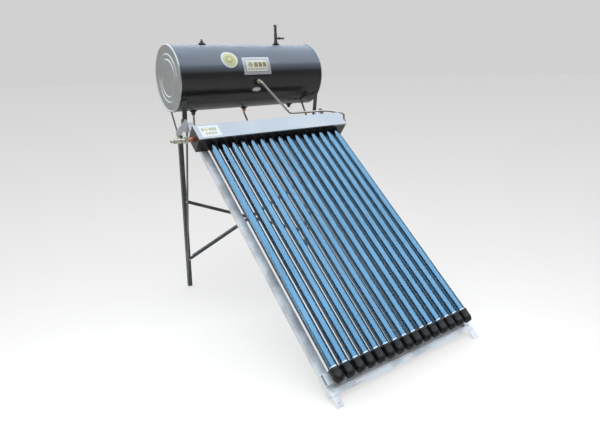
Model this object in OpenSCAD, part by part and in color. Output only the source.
// Compact thermosiphon solar water heater: a pressurised storage tank on a steel stand, a manifold
// box with a copper header, and a sloping row of heat-pipe vacuum tubes. Millimetres, +Z up.
// X runs along the tank, the tubes slope down towards -Y, and the ground is Z = 0.

/* [Vacuum tubes] */
// Number of vacuum tubes in the row
tube_count = 15; // [11:2:15]
// Distance between the axes of neighbouring tubes
tube_pitch = 77; // [72:1:77]
// Outer diameter of the glass
glass_d = 58; // [54:1:58]
// Wall of the outer glass
glass_wall = 1.8; // [1.6:0.1:2.2]
// Outer diameter of the coated inner glass
absorber_d = 47; // [45:1:48]
// Length of a tube from its sealed tip to its mouth
tube_length = 1800; // [1780:5:1810]
// Slope of the tubes above level, in degrees
slope = 38.5; // [38:0.5:39]

/* [Manifold] */
// Length of the manifold box
manifold_l = 1284; // [1270:2:1300]
// Width of the box, measured up the slope
manifold_w = 130; // [126:1:134]
// Height of the box, measured square to the slope
manifold_h = 126; // [124:1:130]
// Outer diameter of the copper header
header_d = 35; // [32:1:38]

/* [Tank] */
// Outer diameter of the painted shell
tank_d = 480; // [476:1:484]
// Length of the tank over both end caps
tank_l = 1240; // [1236:1:1244]
// Height of the tank's axis above the ground
tank_z = 1659; // [1655:1:1663]
// Outer diameter of the pressure vessel inside
vessel_d = 390; // [360:5:400]
// Distance from the middle to the outer ports
port_x = 440; // [420:5:450]
// Distance from the middle to each port on top
top_port_x = 329; // [310:1:340]

/* [Stand] */
// Distance from the middle to the outer face of each side rail
rail_x = 600; // [598:1:602]
// Width of a side rail
rail_w = 50; // [46:1:52]
// Depth of a side rail
rail_h = 36; // [32:1:38]
// Sheet thickness of the rails
rail_sheet = 2; // [1.5:0.5:2.5]
// Width of each flange of a rear leg
leg_w = 30; // [28:1:34]
// Thickness of the legs, braces and plates
plate_t = 3; // [2.5:0.5:3]
// Diameter of the frame bolts
bolt_d = 8; // [6:1:8]

/* [Valves] */
// Angle that the drain valve's handle turns from open to shut
handle_turn = 0; // [0:5:90]
// Angle that the relief valve's test lever is lifted
lever_lift = 0; // [0:1:30]

/* [Hidden] */
$fn = 48;

// The datum of the slope is the middle of the row of tail cups, on the tubes' axes.
datum_y = -1006;
datum_z = 143;

// Positions up the slope from the datum, and heights square to it
tip_s = -36;
mouth_s = tip_s + tube_length;
glass_r = glass_d / 2;
absorber_r = absorber_d / 2;
mouth_ring = 3;
manifold_s = 1738;
manifold_n = -60;
manifold_sheet = 1.5;
header_s = manifold_s + manifold_w / 2;
header_r = header_d / 2;
header_wall = 1.5;
well_r = 8.8;
well_bore_r = 7.3;
condenser_r = 7;
heat_pipe_r = 4;
seal_r = 35;

rail_low_s = -80;
rail_top_s = 2022;
rail_inner_x = rail_x - rail_w;
bolt_hole_r = bolt_d / 2 + 0.5;

tank_y = datum_y + 1849;
tank_r = tank_d / 2;
shell_wall = 1.5;
cap_rim = 6;
vessel_r = vessel_d / 2;
vessel_half = 515;
vessel_wall = 2.5;
dish_r = 390;
spud_r = 13;
spud_bore_r = 9.6;
spud_proud = 13.1;
front_port_z = tank_z - 36;
front_port_y = tank_y - sqrt(tank_r * tank_r - pow(tank_z - front_port_z, 2));

leg_foot_y = datum_y + 1850;
leg_lean = 3.3;
leg_top = 1292;
strut_top = [datum_y + 1609.6, 1324];
strut_foot = [datum_y + 1853, 46];
gusset_back = [datum_y + 1792, 1266];
bracket_foot = [datum_y + 1686, 1302];
side_plate_t = 4;
brace_x = rail_x - 21;
brace_low_z = 238;
brace_high_z = 732;
foot_w = 45;
foot_x = 575;
foot_bolt_s = -55;
foot_tip_s = -150;
foot_hole_s = -126;

pipe_r = 8;
pipe_bore_r = 7;
header_y = datum_y + header_s * cos(slope);
header_z = datum_z + header_s * sin(slope);
valve_x = -745;
elbow_x = 692;
middle_x = -(valve_x - 60 + elbow_x + 30 / sqrt(3)) / 2;
handle_z = header_z + 33;
relief_z = tank_z + tank_r;
hinge_back = 9;

// Frames and small shapes ------------------------------------------------------------------------

// Moves children from the collector's middle plane at X = 0 to where it stands in the whole part,
// whose valve reaches further out on the left than its elbow does on the right
module at_middle() {
  translate([middle_x, 0, 0]) children();
}

// Places children in the slope's frame: X stays, Y runs up the slope, Z is square to it
module on_slope(x = 0, s = 0, n = 0) {
  translate([x, datum_y, datum_z]) rotate([slope, 0, 0]) translate([0, s, n]) children();
}

// The same frame's points, in the part's own frame
function slope_point(x, s, n) = [
  x,
  datum_y + s * cos(slope) - n * sin(slope),
  datum_z + s * sin(slope) + n * cos(slope)
];

// Places children, drawn along +Z, along the slope at one tube
module at_tube(i) {
  on_slope((i - (tube_count - 1) / 2) * tube_pitch) rotate([-90, 0, 0]) children();
}

module each_tube() {
  for (i = [0 : tube_count - 1]) at_tube(i) children();
}

// Places children on the chosen side: -1 is left, as drawn, and +1 is mirrored to the right
module on_side(side) {
  if (side < 0) children();
  else mirror([1, 0, 0]) children();
}

// A tube with its axis along Z
module ring(h, r_out, r_in) {
  difference() {
    cylinder(h = h, r = r_out);
    translate([0, 0, -1]) cylinder(h = h + 2, r = r_in);
  }
}

// A hexagonal prism, measured across its flats
module hex_prism(h, flats) {
  cylinder(h = h, r = flats / sqrt(3), $fn = 6);
}

function unit(v) = v / norm(v);

// Moves children so that their X and Y axes point along the two given directions
module axes_at(origin, x_dir, y_dir) {
  z_dir = cross(x_dir, y_dir);
  multmatrix([
    [x_dir.x, y_dir.x, z_dir.x, origin.x],
    [x_dir.y, y_dir.y, z_dir.y, origin.y],
    [x_dir.z, y_dir.z, z_dir.z, origin.z],
    [0, 0, 0, 1]
  ]) children();
}

// Stands children's Z axis along a direction
module along(origin, direction) {
  d = unit(direction);
  side = abs(d.z) < 0.9 ? unit(cross([0, 0, 1], d)) : unit(cross([0, 1, 0], d));
  axes_at(origin, side, cross(d, side)) children();
}

// A round rod that follows straight runs, with a bend of its own radius at each inner corner. A
// bend is a hair thinner than the runs, which reach a little way over its two ends.
module bent_rod(points, rod_r, bends, extra = 0) {
  lap = 1;
  thinned = 0.05;
  last = len(points) - 1;
  directions = [for (i = [0 : last - 1]) unit(points[i + 1] - points[i])];
  turns = [for (i = [1 : last - 1]) acos(directions[i - 1] * directions[i])];
  trims = [for (i = [0 : last])
    i == 0 || i == last ? -extra : bends[i - 1] * tan(turns[i - 1] / 2) - lap];
  for (i = [0 : last - 1]) {
    run = norm(points[i + 1] - points[i]) - trims[i] - trims[i + 1];
    along(points[i] + directions[i] * trims[i], directions[i]) cylinder(h = run, r = rod_r);
  }
  for (i = [1 : last - 1]) {
    bend_r = bends[i - 1];
    inward = unit(directions[i] - directions[i - 1] * (directions[i - 1] * directions[i]));
    centre = points[i] - directions[i - 1] * (trims[i] + lap) + inward * bend_r;
    axes_at(centre, -inward, directions[i - 1])
      rotate_extrude(angle = turns[i - 1]) translate([bend_r, 0]) circle(r = rod_r - thinned);
  }
}

module bent_pipe(points, bends) {
  difference() {
    bent_rod(points, pipe_r, bends);
    bent_rod(points, pipe_bore_r, bends, 1);
  }
}

// Fasteners --------------------------------------------------------------------------------------

// Runs children once for every frame bolt, in that bolt's frame: its head is below Z = 0 and its
// shank runs up +Z. The grip, the thickness that it clamps, is passed on in $grip.
module each_bolt() {
  for (side = [-1, 1]) on_side(side) {
    at_plate_bolt(strut_top, 2, rail_sheet) children();
    at_plate_bolt(gusset_back, 2, plate_t) children();
    at_plate_bolt(bracket_foot + [10, 18], 2, 0) children();
    at_plate_bolt(strut_foot + [5, 6], 1, plate_t) children();
    at_foot_bolt() children();
    at_manifold_bolt() children();
  }
  for (end = [-1, 1]) {
    at_brace_bolt(end * brace_x, end < 0 ? brace_high_z : brace_low_z, -plate_t, plate_t) children();
    at_brace_bolt(end * brace_x, end < 0 ? brace_low_z : brace_high_z, 0, 2 * plate_t) children();
  }
  at_brace_bolt(0, (brace_low_z + brace_high_z) / 2, -plate_t, 2 * plate_t) children();
}

// A bolt square to the side plates: it clamps some of those plates to what is inside them
module at_plate_bolt(place, plates, inner) {
  $grip = plates * side_plate_t + inner;
  translate([-rail_x - plates * side_plate_t, place[0], place[1]]) rotate([0, 90, 0]) children();
}

// A bolt square to the leaning legs, which clamps what lies from front to back
module at_brace_bolt(x, z, front, back) {
  $grip = back - front;
  on_leg_plane(x, z) rotate([-90, 0, 0]) translate([0, 0, front]) children();
}

module at_foot_bolt() {
  $grip = 2 * rail_sheet + plate_t;
  on_slope(-foot_x, foot_bolt_s, manifold_n + rail_sheet) rotate([180, 0, 0]) children();
}

module at_manifold_bolt() {
  $grip = rail_sheet + manifold_sheet;
  on_slope(-rail_x + rail_w / 2, manifold_s + 100, manifold_n + manifold_sheet)
    rotate([180, 0, 0]) children();
}

module bolt() {
  translate([0, 0, -0.65 * bolt_d]) hex_prism(0.65 * bolt_d, 1.6 * bolt_d);
  translate([0, 0, -0.1]) cylinder(h = $grip + bolt_d + 0.1, r = bolt_d / 2);
}

module nut() {
  translate([0, 0, $grip]) difference() {
    hex_prism(0.8 * bolt_d, 1.6 * bolt_d);
    translate([0, 0, -1]) cylinder(h = bolt_d + 2, r = bolt_d / 2 + 0.1);
  }
}

module bolt_bore() {
  translate([0, 0, -0.5]) cylinder(h = $grip + 1, r = bolt_hole_r);
}

// Children with a clear hole for every frame bolt
module drilled() {
  difference() {
    children();
    each_bolt() bolt_bore();
  }
}

module frame_bolts() {
  color("silver") at_middle() each_bolt() bolt();
}

module frame_nuts() {
  color("silver") at_middle() each_bolt() nut();
}

// Stand ------------------------------------------------------------------------------------------

// Places children on the front face of the rear legs: X stays, Z runs up the leaning leg
module on_leg_plane(x, z) {
  translate([x, leg_foot_y - z * tan(leg_lean), z]) rotate([leg_lean, 0, 0]) children();
}

// Side rail: a channel folded from sheet and open below
module side_rail() {
  length = rail_top_s - rail_low_s;
  color("gainsboro") drilled() on_slope(-rail_x, rail_low_s, manifold_n - rail_h) difference() {
    cube([rail_w, length, rail_h]);
    translate([rail_sheet, -1, -1])
      cube([rail_w - 2 * rail_sheet, length + 2, rail_h - rail_sheet + 1]);
  }
}

// Bottom rail: one folded profile with a slotted flange, a gutter and a shelf for the tail cups
module bottom_rail() {
  gutter_l = 2 * rail_inner_x - 4;
  full_l = 2 * rail_x - 4;
  t = rail_sheet;
  shelf_n = -36;
  gutter_n = manifold_n - 26;
  color("gainsboro") at_middle() drilled() difference() {
    on_slope() {
      translate([-full_l / 2, -86, manifold_n]) cube([full_l, 36, t]);
      translate([-gutter_l / 2, -50 - t, gutter_n]) cube([gutter_l, t, manifold_n - gutter_n + t]);
      translate([-gutter_l / 2, -50 - t, gutter_n]) cube([gutter_l, 24 + 2 * t, t]);
      translate([-gutter_l / 2, -26, gutter_n]) cube([gutter_l, t, shelf_n - gutter_n]);
      translate([-full_l / 2, -26, manifold_n]) cube([full_l, t, shelf_n - manifold_n]);
      translate([-full_l / 2, -26, shelf_n - t]) cube([full_l, 66, t]);
      translate([-full_l / 2, 40 - t, manifold_n]) cube([full_l, t, shelf_n - manifold_n]);
    }
    for (x = [-380, 0, 380]) on_slope(x, -66, manifold_n - 1) rail_slot(75, 4);
    each_tube() translate([0, 0, 4]) rotate([-90, 0, 0]) cylinder(h = 50, r = 4.5);
  }
}

module rail_slot(length, r) {
  for (x = [-1, 1]) translate([x * (length / 2 - r), 0, 0]) cylinder(h = 4, r = r);
  translate([r - length / 2, -r, 0]) cube([length - 2 * r, 2 * r, 4]);
}

// Front foot: a strip under the rail with a side gusset, and a hole for a ground bolt
module front_foot() {
  under = manifold_n - rail_sheet - plate_t;
  color("silver") drilled() difference() {
    on_slope(-foot_x) {
      translate([-foot_w / 2, foot_tip_s, under]) cube([foot_w, 120, plate_t]);
      translate([-foot_w / 2, -70, under]) rotate([90, 0, 90])
        linear_extrude(plate_t) polygon([[-30, 0], [40, 0], [40, -25], [0, -25]]);
    }
    on_slope(-foot_x, foot_hole_s, under - 1) cylinder(h = plate_t + 2, r = 4.5);
    translate([-foot_x - 100, datum_y - 300, -100]) cube([200, 400, 100]);
  }
}

// Rear leg: a length of angle that leans forward a little, cut level at the ground
module rear_leg() {
  color("dimgray") drilled() difference() {
    on_leg_plane(-rail_x, 0) translate([0, 0, -20]) {
      cube([leg_w, plate_t, leg_top + 20]);
      cube([plate_t, leg_w, leg_top + 20]);
    }
    translate([-rail_x - 50, leg_foot_y - 100, -100]) cube([200, 200, 100]);
    translate([-rail_x - 1, leg_foot_y + 18, 30]) rotate([0, 90, 0]) cylinder(h = 10, r = 5.5);
  }
}

// A flat bar with round ends from one point of the side plane to another; x is its outer face
module side_bar(from, to, width, x, thick) {
  reach = norm(to - from);
  rise = atan2(to[1] - from[1], to[0] - from[0]);
  translate([x, from[0], from[1]]) rotate([rise, 0, 0]) {
    translate([0, 0, -width / 2]) cube([thick, reach, width]);
    for (y = [0, reach]) translate([0, y, 0]) rotate([0, 90, 0]) cylinder(h = thick, r = width / 2);
  }
}

// Rear strut: a flat bar from the foot of the leg to the top of the side rail
module rear_strut() {
  color("dimgray") drilled()
    side_bar(strut_foot, strut_top, leg_w - 2, -rail_x - side_plate_t, side_plate_t);
}

// Cross brace: a length of angle between the legs. It falls to the right in front of them
module cross_brace_falling() {
  color("dimgray") at_middle() drilled() on_leg_plane(0, 0)
    brace_bar([-brace_x, brace_high_z], [brace_x, brace_low_z], -plate_t);
}

// and the other one rises to the right behind their front flanges.
module cross_brace_rising() {
  color("dimgray") at_middle() drilled() on_leg_plane(0, 0)
    brace_bar([-brace_x, brace_low_z], [brace_x, brace_high_z], plate_t);
}

// The legs' plane leans, so heights along it are a little more than heights above the ground
module brace_bar(from, to, y) {
  low = [from[0], from[1] / cos(leg_lean)];
  high = [to[0], to[1] / cos(leg_lean)];
  reach = norm(high - low);
  rise = atan2(high[1] - low[1], high[0] - low[0]);
  translate([low[0], y, low[1]]) rotate([0, -rise, 0]) {
    translate([-12, 0, -12]) cube([reach + 24, plate_t, 26]);
    translate([40, y < 0 ? -15 : 0, 11]) cube([reach - 80, plate_t + 15, 3]);
  }
}

// Top gusset: ties the rail's end, the leg's top and the tank bracket together
module top_gusset() {
  front = strut_top - [24, 6];
  crown = strut_top + [4, 20];
  outline = [front, front + [50, -24], gusset_back - [4, 22], gusset_back + [4, 21], crown + [30, 22]];
  color("silver") drilled() translate([-rail_x - 2 * side_plate_t, 0, 0]) rotate([90, 0, 90])
    linear_extrude(side_plate_t) {
      polygon(outline);
      translate(gusset_back) circle(r = 23);
      translate(crown) circle(r = 38);
      translate(front + [14, 0]) circle(r = 20);
    }
}

// Front tank bracket: an angle that leans to the tank and is rolled to fit it at the top
module tank_bracket() {
  color("dimgray") drilled() difference() {
    translate([-rail_x - side_plate_t, bracket_foot[0], bracket_foot[1]]) rotate([8.5, 0, 0]) {
      translate([0, -plate_t, 0]) cube([36, plate_t, 210]);
      translate([0, -plate_t, 0]) cube([side_plate_t, 26, 74]);
    }
    tank_solid(0.05);
  }
}

// Rear tank strut: a flat bar from the leg's top to the underside of the tank, with a seat
module tank_strut() {
  top = [tank_y + 30, tank_z - tank_r - 2];
  color("dimgray") drilled() difference() {
    union() {
      side_bar(gusset_back, top, 20, -rail_x - side_plate_t, side_plate_t);
      translate([-rail_x - side_plate_t, top[0] - 18, top[1] - 6]) cube([32, 36, 12]);
    }
    tank_solid(0.05);
    translate([-rail_x, top[0] - 30, top[1] - 11]) cube([40, 60, 9]);
  }
}

module side_rail_left() { at_middle() on_side(-1) side_rail(); }
module side_rail_right() { at_middle() on_side(1) side_rail(); }
module front_foot_left() { at_middle() on_side(-1) front_foot(); }
module front_foot_right() { at_middle() on_side(1) front_foot(); }
module rear_leg_left() { at_middle() on_side(-1) rear_leg(); }
module rear_leg_right() { at_middle() on_side(1) rear_leg(); }
module rear_strut_left() { at_middle() on_side(-1) rear_strut(); }
module rear_strut_right() { at_middle() on_side(1) rear_strut(); }
module top_gusset_left() { at_middle() on_side(-1) top_gusset(); }
module top_gusset_right() { at_middle() on_side(1) top_gusset(); }
module tank_bracket_left() { at_middle() on_side(-1) tank_bracket(); }
module tank_bracket_right() { at_middle() on_side(1) tank_bracket(); }
module tank_strut_left() { at_middle() on_side(-1) tank_strut(); }
module tank_strut_right() { at_middle() on_side(1) tank_strut(); }

// Vacuum tubes -----------------------------------------------------------------------------------

// A round-bottomed glass sleeve, from its tip at z to its open end at top
module glass_sleeve(tip, top, r, wall) {
  difference() {
    union() {
      translate([0, 0, tip + r]) sphere(r = r);
      translate([0, 0, tip + r]) cylinder(h = top - tip - r, r = r);
    }
    translate([0, 0, tip + r]) sphere(r = r - wall);
    translate([0, 0, tip + r]) cylinder(h = top - tip - r + 1, r = r - wall);
  }
}

module glass_tubes() {
  color("lightblue", 0.4) at_middle() each_tube()
    glass_sleeve(tip_s, mouth_s - mouth_ring, glass_r, glass_wall);
}

// The coated inner glass, with the ring at its mouth that is fused to the outer glass
module absorber_tubes() {
  wall = 1.6;
  color("steelblue") at_middle() each_tube() {
    glass_sleeve(tip_s + 14, mouth_s - mouth_ring, absorber_r, wall);
    translate([0, 0, mouth_s - mouth_ring]) ring(mouth_ring, glass_r, absorber_r - wall);
  }
}

// Aluminium fin: a rolled sleeve with a web that holds the heat pipe on the tube's axis
module absorber_fins() {
  fin_r = absorber_r - 2.2;
  fin_wall = 0.8;
  low = 40;
  high = 1690;
  color("lightgray") at_middle() each_tube() difference() {
    translate([0, 0, low]) union() {
      ring(high - low, fin_r, fin_r - fin_wall);
      translate([-fin_r + fin_wall / 2, -fin_wall / 2, 0])
        cube([2 * fin_r - fin_wall, fin_wall, high - low]);
      cylinder(h = high - low, r = heat_pipe_r + 1);
    }
    cylinder(h = high + 1, r = heat_pipe_r + 0.1);
  }
}

// Heat pipe: a long evaporator rod with a wider condenser that plugs into the header
module heat_pipes() {
  neck = mouth_s + 4;
  condenser = header_s + 8;
  color("peru") at_middle() each_tube() {
    translate([0, 0, 30]) cylinder(h = neck - 30 + 1, r = heat_pipe_r);
    translate([0, 0, neck]) cylinder(h = condenser - neck, r = condenser_r);
  }
}

// Rubber dust seal in each hole of the casing
module tube_seals() {
  color("black") at_middle() each_tube() translate([0, 0, manifold_s - 7]) difference() {
    union() {
      cylinder(h = 3, r1 = seal_r - 2.5, r2 = seal_r);
      translate([0, 0, 3]) cylinder(h = 4, r = seal_r);
      cylinder(h = 14, r = glass_r + 2);
    }
    translate([0, 0, -1]) cylinder(h = 20, r = glass_r + 0.1);
  }
}

// Plastic cup that carries the lower end of a tube, with a peg through the shelf
module tail_cups() {
  cup_low = -46;
  cup_high = 38;
  cup_r = 33;
  color("black") at_middle() each_tube() difference() {
    union() {
      translate([0, 0, cup_low]) cylinder(h = 8, r1 = 13, r2 = 19);
      translate([0, 0, cup_low + 8]) cylinder(h = 26, r1 = 19, r2 = cup_r);
      translate([0, 0, cup_low + 34]) cylinder(h = cup_high - cup_low - 34, r = cup_r);
      translate([0, 0, cup_high - 14]) cylinder(h = 14, r = cup_r + 2);
      translate([0, 0, 4]) rotate([-90, 0, 0]) cylinder(h = 35.7, r = 9);
      translate([0, 0, 4]) rotate([-90, 0, 0]) cylinder(h = 44, r = 4);
    }
    translate([0, 0, tip_s + glass_r]) sphere(r = glass_r + 0.1);
    translate([0, 0, tip_s + glass_r]) cylinder(h = 80, r = glass_r + 0.1);
  }
}

// Manifold ---------------------------------------------------------------------------------------

// Places children in the manifold's frame, with its origin at the box's lower front left corner
module in_manifold() {
  on_slope(-manifold_l / 2, manifold_s, manifold_n) children();
}

module header_bore(r, reach) {
  on_slope(-reach, header_s, 0) rotate([0, 90, 0]) cylinder(h = 2 * reach, r = r);
}

// Black casing: front, bottom and back folded from one sheet
module manifold_casing() {
  t = manifold_sheet;
  color("black") at_middle() difference() {
    in_manifold() difference() {
      translate([t, 0, 0]) cube([manifold_l - 2 * t, manifold_w, manifold_h - t]);
      translate([-1, t, t]) cube([manifold_l + 2, manifold_w - 2 * t, manifold_h]);
    }
    each_tube() translate([0, 0, manifold_s - 1]) cylinder(h = 5, r = glass_r + 2.1);
    on_slope(-port_x, header_s, manifold_n - 1) cylinder(h = 5, r = pipe_r + 2);
    each_bolt() bolt_bore();
  }
}

// Bright cover plate with a lip folded down at the front and the back
module manifold_cover() {
  t = 1.2;
  color("aliceblue") at_middle() in_manifold() translate([0, -t - 0.1, 0]) {
    translate([0, 0, manifold_h - manifold_sheet]) cube([manifold_l, manifold_w + 2 * t + 0.2, t]);
    for (y = [0, manifold_w + t + 0.2])
      translate([0, y, manifold_h - 12]) cube([manifold_l, t, 12 - manifold_sheet]);
  }
}

// Black end plate with a skirt that fits inside the casing
module manifold_end(side) {
  t = manifold_sheet;
  color("black") at_middle() difference() {
    on_side(side) in_manifold() difference() {
      union() {
        cube([t, manifold_w, manifold_h - t]);
        translate([0, t + 0.1, t + 0.1]) cube([16, manifold_w - 2 * t - 0.2, manifold_h - 2 * t - 0.2]);
      }
      translate([t, 2 * t, 2 * t]) cube([20, manifold_w - 4 * t, manifold_h]);
    }
    header_bore(header_r + 0.5, 700);
  }
}

module manifold_end_left() { manifold_end(-1); }
module manifold_end_right() { manifold_end(1); }

// Mineral wool block around the header, hollow for the tubes' mouths and the wells
module manifold_insulation() {
  inset = 18;
  color("khaki") at_middle() difference() {
    in_manifold() translate([inset, 12, 8])
      cube([manifold_l - 2 * inset, manifold_w - 16, manifold_h - 14]);
    each_tube() translate([0, 0, manifold_s]) cylinder(h = mouth_s - manifold_s + 1, r = glass_r + 1);
    each_tube() translate([0, 0, manifold_s]) cylinder(h = 90, r = well_r + 0.5);
    header_bore(header_r + 0.5, 700);
    on_slope(-port_x, header_s, manifold_n) cylinder(h = 60, r = pipe_r + 6);
  }
}

// Copper header with a dry well for each heat pipe and a branch for the return pipe
module header_pipe() {
  well_low = header_s - header_r - 9;
  well_top = header_s + 11;
  color("peru") at_middle() difference() {
    union() {
      difference() {
        union() {
          on_slope(-690, header_s, 0) rotate([0, 90, 0]) cylinder(h = 1370, r = header_r);
          on_slope(-port_x, header_s, -42) cylinder(h = 42, r = pipe_r + 2.5);
        }
        header_bore(header_r - header_wall, 720);
      }
      each_tube() translate([0, 0, well_low]) cylinder(h = well_top - well_low, r = well_r);
    }
    each_tube() translate([0, 0, well_low - 1]) cylinder(h = well_top - well_low - 1, r = well_bore_r);
    on_slope(-port_x, header_s, -43) cylinder(h = 40, r = pipe_r + 0.1);
  }
}

module manifold_label() {
  cover_n = manifold_n + manifold_h - manifold_sheet + 1.2;
  color("white") at_middle() on_slope(-608, header_s - 52, cover_n) cube([146, 104, 0.4]);
}

// Tank -------------------------------------------------------------------------------------------

// Places children, drawn along +Z, along the tank's axis from one x
module along_tank(x) {
  translate([x, tank_y, tank_z]) rotate([0, 90, 0]) children();
}

// A solid round the tank's axis that fills the painted shell, grown by some amount
module tank_solid(grow, half = 700) {
  along_tank(-half) cylinder(h = 2 * half, r = tank_r + grow, $fn = 180);
}

// Runs children at each port, with +Z pointing out of the tank from its axis
module each_port() {
  for (x = [-top_port_x, top_port_x]) translate([x, tank_y, tank_z]) children();
  for (x = [-port_x, 0, port_x]) translate([x, tank_y, tank_z]) rotate([180, 0, 0]) children();
  translate([0, tank_y, front_port_z]) rotate([90, 0, 0]) children();
}

module tank_shell() {
  color("dimgray") at_middle() difference() {
    tank_solid(0, tank_l / 2 - 9);
    tank_solid(-shell_wall, tank_l / 2);
    each_port() cylinder(h = tank_r + 20, r = spud_r + 1);
  }
}

// Stainless end cap with a rolled rim and two pressed rings
module tank_end_left() {
  color("lightgray") at_middle() along_tank(-tank_l / 2) end_cap();
}

module tank_end_right() {
  color("lightgray") at_middle() on_side(1) along_tank(-tank_l / 2) end_cap();
}

module end_cap() {
  rim_r = tank_r + 2;
  rim_roll = 3;
  rotate_extrude($fn = 96) {
    translate([0, 4]) square([rim_r - 8, 1.5]);
    translate([rim_r - 8.5, 1.5]) square([1.5, 4]);
    translate([rim_r - 8.5, 0]) square([8.5 - rim_roll, 1.5]);
    intersection() {
      difference() {
        translate([rim_r - rim_roll, rim_roll]) circle(r = rim_roll);
        translate([rim_r - rim_roll, rim_roll]) circle(r = rim_roll - 1.5);
      }
      translate([rim_r - rim_roll, 0]) square(rim_roll);
    }
    translate([rim_r - 1.5, rim_roll]) square([1.5, cap_rim]);
    for (r = [132, 170]) translate([r, 4.5]) difference() {
      circle(r = 5);
      circle(r = 3.8);
      translate([-6, 0.8]) square([12, 6]);
    }
  }
}

// The vessel's outline, grown by some amount, with a dished head at each end
module vessel_body(grow) {
  rise = dish_r - sqrt(dish_r * dish_r - vessel_r * vessel_r);
  along_tank(-vessel_half) cylinder(h = 2 * vessel_half, r = vessel_r + grow);
  for (side = [-1, 1]) on_side(side) along_tank(0) intersection() {
    translate([0, 0, dish_r - rise - vessel_half]) sphere(r = dish_r + grow);
    translate([0, 0, -vessel_half - 60]) cylinder(h = 61, r = vessel_r + grow);
  }
}

// The screwed sockets stand from the vessel through the shell
module port_spuds(r) {
  each_port() translate([0, 0, vessel_r - 12]) cylinder(h = tank_r + spud_proud - vessel_r + 12, r = r);
}

module pressure_vessel() {
  color("silver") at_middle() difference() {
    union() {
      vessel_body(0);
      port_spuds(spud_r);
    }
    vessel_body(-vessel_wall);
    each_port() translate([0, 0, vessel_r - 40]) cylinder(h = 140, r = spud_bore_r);
  }
}

module tank_insulation() {
  color("khaki") at_middle() difference() {
    tank_solid(-shell_wall - 0.1, tank_l / 2 - 11);
    vessel_body(0.1);
    port_spuds(spud_r + 0.1);
  }
}

// Magnesium rod on a hexagonal plug, in the left port on top
module anode_rod() {
  color("silver") at_middle() translate([-top_port_x, tank_y, relief_z]) {
    translate([0, 0, -330]) cylinder(h = 300, r = 9);
    translate([0, 0, -31]) cylinder(h = 31 + spud_proud, r = spud_bore_r - 0.1);
    translate([0, 0, spud_proud]) hex_prism(10, 24);
    translate([0, 0, spud_proud + 10]) cylinder(h = 8, r = 5);
    translate([0, 0, spud_proud + 16]) cylinder(h = 6, r = 7);
  }
}

// Flared rubber collar around each port
module port_grommets() {
  color("black") at_middle() difference() {
    each_port() translate([0, 0, tank_r - 4]) difference() {
      union() {
        cylinder(h = 7, r = 31);
        translate([0, 0, 7]) cylinder(h = spud_proud - 3.1, r1 = 31, r2 = 17);
      }
      translate([0, 0, -1]) cylinder(h = 20, r = spud_r + 0.05);
    }
    tank_solid(0.05);
  }
}

// A thin shell just outside the painted skin, from which the labels are cut
module label_skin(thick) {
  difference() {
    tank_solid(0.1 + thick, 400);
    tank_solid(0.1, 410);
  }
}

// Places children square to the front of the tank at one x and one angle above level
module on_tank_front(x, up) {
  translate([x, tank_y, tank_z]) rotate([-up, 0, 0]) rotate([90, 0, 0]) children();
}

module nameplate() {
  color("silver") at_middle() intersection() {
    label_skin(1.4);
    on_tank_front(8, 19.5) translate([-118, -66, 100]) cube([236, 132, 200]);
  }
}

module round_label() {
  color("palegoldenrod") at_middle() intersection() {
    label_skin(0.4);
    on_tank_front(-212, 32.2) translate([0, 0, 100]) cylinder(h = 200, r = 66);
  }
}

module oval_badge() {
  color("silver") at_middle() intersection() {
    label_skin(0.8);
    on_tank_front(-2, -23.4) translate([0, 0, 100]) {
      for (x = [-22, 22]) translate([x, 0, 0]) cylinder(h = 200, r = 17);
      translate([-22, -17, 0]) cube([44, 34, 200]);
    }
  }
}

// Relief valve -----------------------------------------------------------------------------------

module at_relief(z = 0) {
  translate([top_port_x, tank_y, relief_z + z]) children();
}

// Brass tee: a nipple in the port, a hexagon, a barrel and a side outlet
module relief_valve_body() {
  color("dimgray") at_middle() at_relief() difference() {
    union() {
      translate([0, 0, -14]) cylinder(h = 34, r = spud_bore_r - 0.1);
      translate([0, 0, spud_proud]) hex_prism(13, 30);
      translate([0, 0, 20]) cylinder(h = 66, r = 13);
      translate([0, 0, 50]) rotate([0, 90, 0]) cylinder(h = 36, r = 8.5);
      translate([32, 0, 50]) rotate([0, 90, 0]) cylinder(h = 8, r = 11);
      translate([40, 0, 50]) rotate([0, 90, 0]) cylinder(h = 40, r = 7.5);
    }
    translate([0, 0, -20]) cylinder(h = 80, r = 6);
    translate([0, 0, 60]) cylinder(h = 30, r = 10.5);
    translate([0, 0, 50]) rotate([0, 90, 0]) cylinder(h = 90, r = 5);
  }
}

// Spring housing with a flange on top and two ears for the lever's pin
module relief_valve_bonnet() {
  color("silver") at_middle() at_relief() difference() {
    union() {
      translate([0, 0, 86]) cylinder(h = 6, r = 9.5);
      translate([0, 0, 78]) cylinder(h = 10, r = 10.4);
      translate([0, 0, 92]) cylinder(h = 48, r = 11);
      translate([0, 0, 140]) cylinder(h = 5, r = 14);
      for (y = [-8, 5.5]) translate([-hinge_back - 4, y, 144]) {
        cube([8, 2.5, 7]);
        translate([4, 0, 7]) rotate([-90, 0, 0]) cylinder(h = 2.5, r = 4);
      }
    }
    translate([0, 0, 70]) cylinder(h = 67, r = 7.5);
    cylinder(h = 160, r = 3.2);
    translate([-hinge_back, -10, 151]) rotate([-90, 0, 0]) cylinder(h = 20, r = 1.5);
  }
}

// Valve disc, stem and the head that the lever lifts
module relief_valve_stem() {
  color("silver") at_middle() at_relief() {
    translate([0, 0, 61]) cylinder(h = 5, r = 9.5);
    translate([0, 0, 66]) cylinder(h = 88, r = 3);
    translate([0, 0, 152.7]) cylinder(h = 4, r = 4.2);
  }
}

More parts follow.
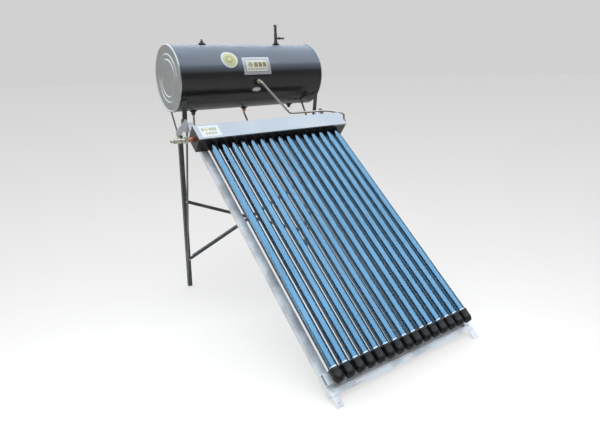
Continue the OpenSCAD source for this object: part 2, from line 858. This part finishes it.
// Compression spring between the disc and the bonnet's top
module relief_valve_spring() {
  coils = 7;
  steps = 14;
  low = 67.2;
  high = 135.8;
  coil_r = 5.6;
  wire_r = 0.9;
  sides = 6;
  last = coils * steps;
  points = [for (i = [0 : last]) for (k = [0 : sides - 1])
    let (a = i * 360 / steps, b = k * 360 / sides, r = coil_r + wire_r * cos(b))
      [r * cos(a), r * sin(a), low + (high - low) * i / last + wire_r * sin(b)]];
  sleeve = [for (i = [0 : last - 1]) for (k = [0 : sides - 1]) for (half = [0, 1])
    let (here = i * sides, far = here + sides, next = (k + 1) % sides)
      half == 0 ? [here + k, here + next, far + next] : [here + k, far + next, far + k]];
  first_end = [for (k = [0 : sides - 1]) sides - 1 - k];
  far_end = [for (k = [0 : sides - 1]) last * sides + k];
  color("gray") at_middle() at_relief()
    polyhedron(points, concat([first_end, far_end], sleeve), convexity = 10);
}

// Test lever: a forked strip that turns on the pin and lifts the stem's head
module relief_lever() {
  color("silver") at_middle() at_relief() difference() {
    translate([-hinge_back, 0, 151]) rotate([0, -lever_lift, 0]) translate([hinge_back, 0, -151])
      difference() {
        union() {
          translate([-hinge_back, -5, 149.8]) cube([38, 10, 2.2]);
          translate([-hinge_back, -5.2, 151]) rotate([-90, 0, 0]) cylinder(h = 10.4, r = 3.4);
          translate([27, -7, 149.8]) cube([5, 14, 2.2]);
        }
        translate([-3.6, -3.6, 140]) cube([11, 7.2, 30]);
        translate([-hinge_back, -10, 151]) rotate([-90, 0, 0]) cylinder(h = 20, r = 1.55);
      }
  }
}

module relief_lever_pin() {
  color("silver") at_middle() at_relief() translate([-hinge_back, -9, 151]) rotate([-90, 0, 0])
    cylinder(h = 18, r = 1.5);
}

// Pipework ---------------------------------------------------------------------------------------

// A union: a hexagon nut and a collar around a pipe, along +Z
module pipe_union(nut_l, collar_l) {
  difference() {
    union() {
      hex_prism(nut_l, 30);
      translate([0, 0, nut_l]) cylinder(h = collar_l, r1 = 14, r2 = 11);
    }
    translate([0, 0, -1]) cylinder(h = nut_l + collar_l + 2, r = pipe_r + 0.05);
  }
}

module hot_port_union() {
  start_y = tank_y - tank_r - spud_proud - 0.5;
  color("goldenrod") at_middle() translate([0, start_y, front_port_z]) rotate([90, 0, 0])
    pipe_union(11, 4);
}

hot_route = [
  [0, front_port_y + 6, front_port_z],
  [0, datum_y + 1558, front_port_z],
  [236, datum_y + 1530, 1372],
  [560, datum_y + 1478, 1373],
  [elbow_x, header_y, 1349],
  [elbow_x, header_y, header_z + 16]
];

// Steel pipe from the tank's front port to the right-hand end of the header
module hot_pipe() {
  color("silver") at_middle() bent_pipe(hot_route, [22, 40, 40, 30]);
}

// Brass elbow that turns the header's right-hand end up to the hot pipe
module header_elbow() {
  color("goldenrod") at_middle() difference() {
    union() {
      translate([656, header_y, header_z]) rotate([0, 90, 0]) hex_prism(27, 44);
      translate([682, header_y, header_z]) rotate([0, 90, 0]) cylinder(h = 10, r = 14);
      translate([elbow_x, header_y, header_z]) sphere(r = 14);
      translate([elbow_x, header_y, header_z]) cylinder(h = 20, r = 14);
      translate([elbow_x, header_y, header_z + 18]) hex_prism(14, 30);
    }
    translate([640, header_y, header_z]) rotate([0, 90, 0]) cylinder(h = 40.5, r = header_r + 0.05);
    translate([640, header_y, header_z]) rotate([0, 90, 0]) cylinder(h = 52, r = 7);
    translate([elbow_x, header_y, header_z]) sphere(r = 7);
    translate([elbow_x, header_y, header_z]) cylinder(h = 40, r = 7);
    translate([elbow_x, header_y, header_z + 15]) cylinder(h = 40, r = pipe_r + 0.05);
  }
}

// Places children under a bottom port, with +Z pointing down
module under_port(x) {
  translate([x, tank_y, tank_z - tank_r]) rotate([180, 0, 0]) children();
}

// Pipe from the left bottom port down behind the manifold and up into the header's branch
module return_pipe() {
  color("silver") at_middle() bent_pipe([
    [-port_x, tank_y, tank_z - tank_r + 4],
    [-port_x, tank_y, 1190],
    slope_point(-port_x, header_s, -105),
    slope_point(-port_x, header_s, -24)
  ], [35, 35]);
}

module return_union() {
  color("goldenrod") at_middle() under_port(-port_x) translate([0, 0, spud_proud + 1]) pipe_union(14, 7);
}

supply_end = [0, tank_y - 58, 1232];

// Cold supply: leans forward from the middle bottom port and ends in an open pipe
module supply_pipe() {
  color("silver") at_middle() bent_pipe([
    [0, tank_y, tank_z - tank_r + 4],
    [0, tank_y, tank_z - tank_r - 48],
    [0, supply_end.y, supply_end.z + 70],
    supply_end
  ], [35, 35]);
}

module supply_union() {
  color("chocolate") at_middle() under_port(0) translate([0, 0, spud_proud + 1]) pipe_union(14, 7);
}

// Plug in the right bottom port
module drain_plug() {
  color("black") at_middle() under_port(port_x) {
    translate([0, 0, -18]) cylinder(h = 18 + spud_proud + 1, r = spud_bore_r - 0.1);
    translate([0, 0, spud_proud]) hex_prism(13, 25);
    translate([0, 0, spud_proud + 13]) cylinder(h = 5, r = 7);
  }
}

// Drain valve ------------------------------------------------------------------------------------

ball_r = 13;
drain_bore_r = 8;

module at_drain(x = 0) {
  translate([valve_x + x, header_y, header_z]) children();
}

// Brass ball valve: a hexagon on the header's end, a round body, a neck and a screwed outlet
module drain_valve_body() {
  color("goldenrod") at_middle() at_drain() difference() {
    union() {
      translate([36, 0, 0]) rotate([0, 90, 0]) hex_prism(24, 42);
      translate([-30, 0, 0]) rotate([0, 90, 0]) cylinder(h = 66, r = 17);
      sphere(r = 20);
      translate([-40, 0, 0]) rotate([0, 90, 0]) hex_prism(16, 30);
      translate([-60, 0, 0]) rotate([0, 90, 0]) cylinder(h = 22, r = 10.5);
      cylinder(h = 26, r = 9);
    }
    sphere(r = ball_r + 0.05);
    translate([-61, 0, 0]) rotate([0, 90, 0]) cylinder(h = 140, r = drain_bore_r);
    translate([40, 0, 0]) rotate([0, 90, 0]) cylinder(h = 40, r = header_r + 0.05);
    cylinder(h = 30, r = 4.05);
  }
}

module handle_turned() {
  translate([valve_x, header_y, header_z]) rotate([0, 0, -handle_turn]) children();
}

// The ball, bored through, with a slot on top for the stem's tongue
module drain_valve_ball() {
  color("silver") at_middle() handle_turned() difference() {
    sphere(r = ball_r);
    translate([-20, 0, 0]) rotate([0, 90, 0]) cylinder(h = 40, r = drain_bore_r);
    translate([-1.6, -20, 10.5]) cube([3.2, 40, 10]);
  }
}

module drain_valve_stem() {
  color("silver") at_middle() handle_turned() {
    translate([-1.5, -3, 10.6]) cube([3, 6, 3.4]);
    translate([0, 0, 13.2]) cylinder(h = 27, r = 4);
    translate([0, 0, 36.5]) hex_prism(5, 13);
  }
}

// Steel lever handle, cranked up and away from the pipe
module drain_valve_handle() {
  color("gainsboro") at_middle() handle_turned() difference() {
    union() {
      translate([0, 0, 32.6]) cylinder(h = 3.8, r = 12);
      translate([0, 7, 0]) rotate([90, 0, 0]) linear_extrude(14)
        polygon([[-22, 33], [20, 33], [40, 55], [86, 59], [86, 62], [38.7, 58], [18.6, 36], [-22, 36]]);
    }
    translate([0, 0, 20]) cylinder(h = 40, r = 4.05);
  }
}

side_rail_left();
side_rail_right();
bottom_rail();
front_foot_left();
front_foot_right();
rear_leg_left();
rear_leg_right();
rear_strut_left();
rear_strut_right();
cross_brace_falling();
cross_brace_rising();
top_gusset_left();
top_gusset_right();
tank_bracket_left();
tank_bracket_right();
tank_strut_left();
tank_strut_right();
frame_bolts();
frame_nuts();
glass_tubes();
absorber_tubes();
absorber_fins();
heat_pipes();
tube_seals();
tail_cups();
manifold_casing();
manifold_cover();
manifold_end_left();
manifold_end_right();
manifold_insulation();
header_pipe();
manifold_label();
tank_shell();
tank_end_left();
tank_end_right();
pressure_vessel();
tank_insulation();
anode_rod();
port_grommets();
nameplate();
round_label();
oval_badge();
relief_valve_body();
relief_valve_bonnet();
relief_valve_stem();
relief_valve_spring();
relief_lever();
relief_lever_pin();
hot_port_union();
hot_pipe();
header_elbow();
return_pipe();
return_union();
supply_pipe();
supply_union();
drain_plug();
drain_valve_body();
drain_valve_ball();
drain_valve_stem();
drain_valve_handle();
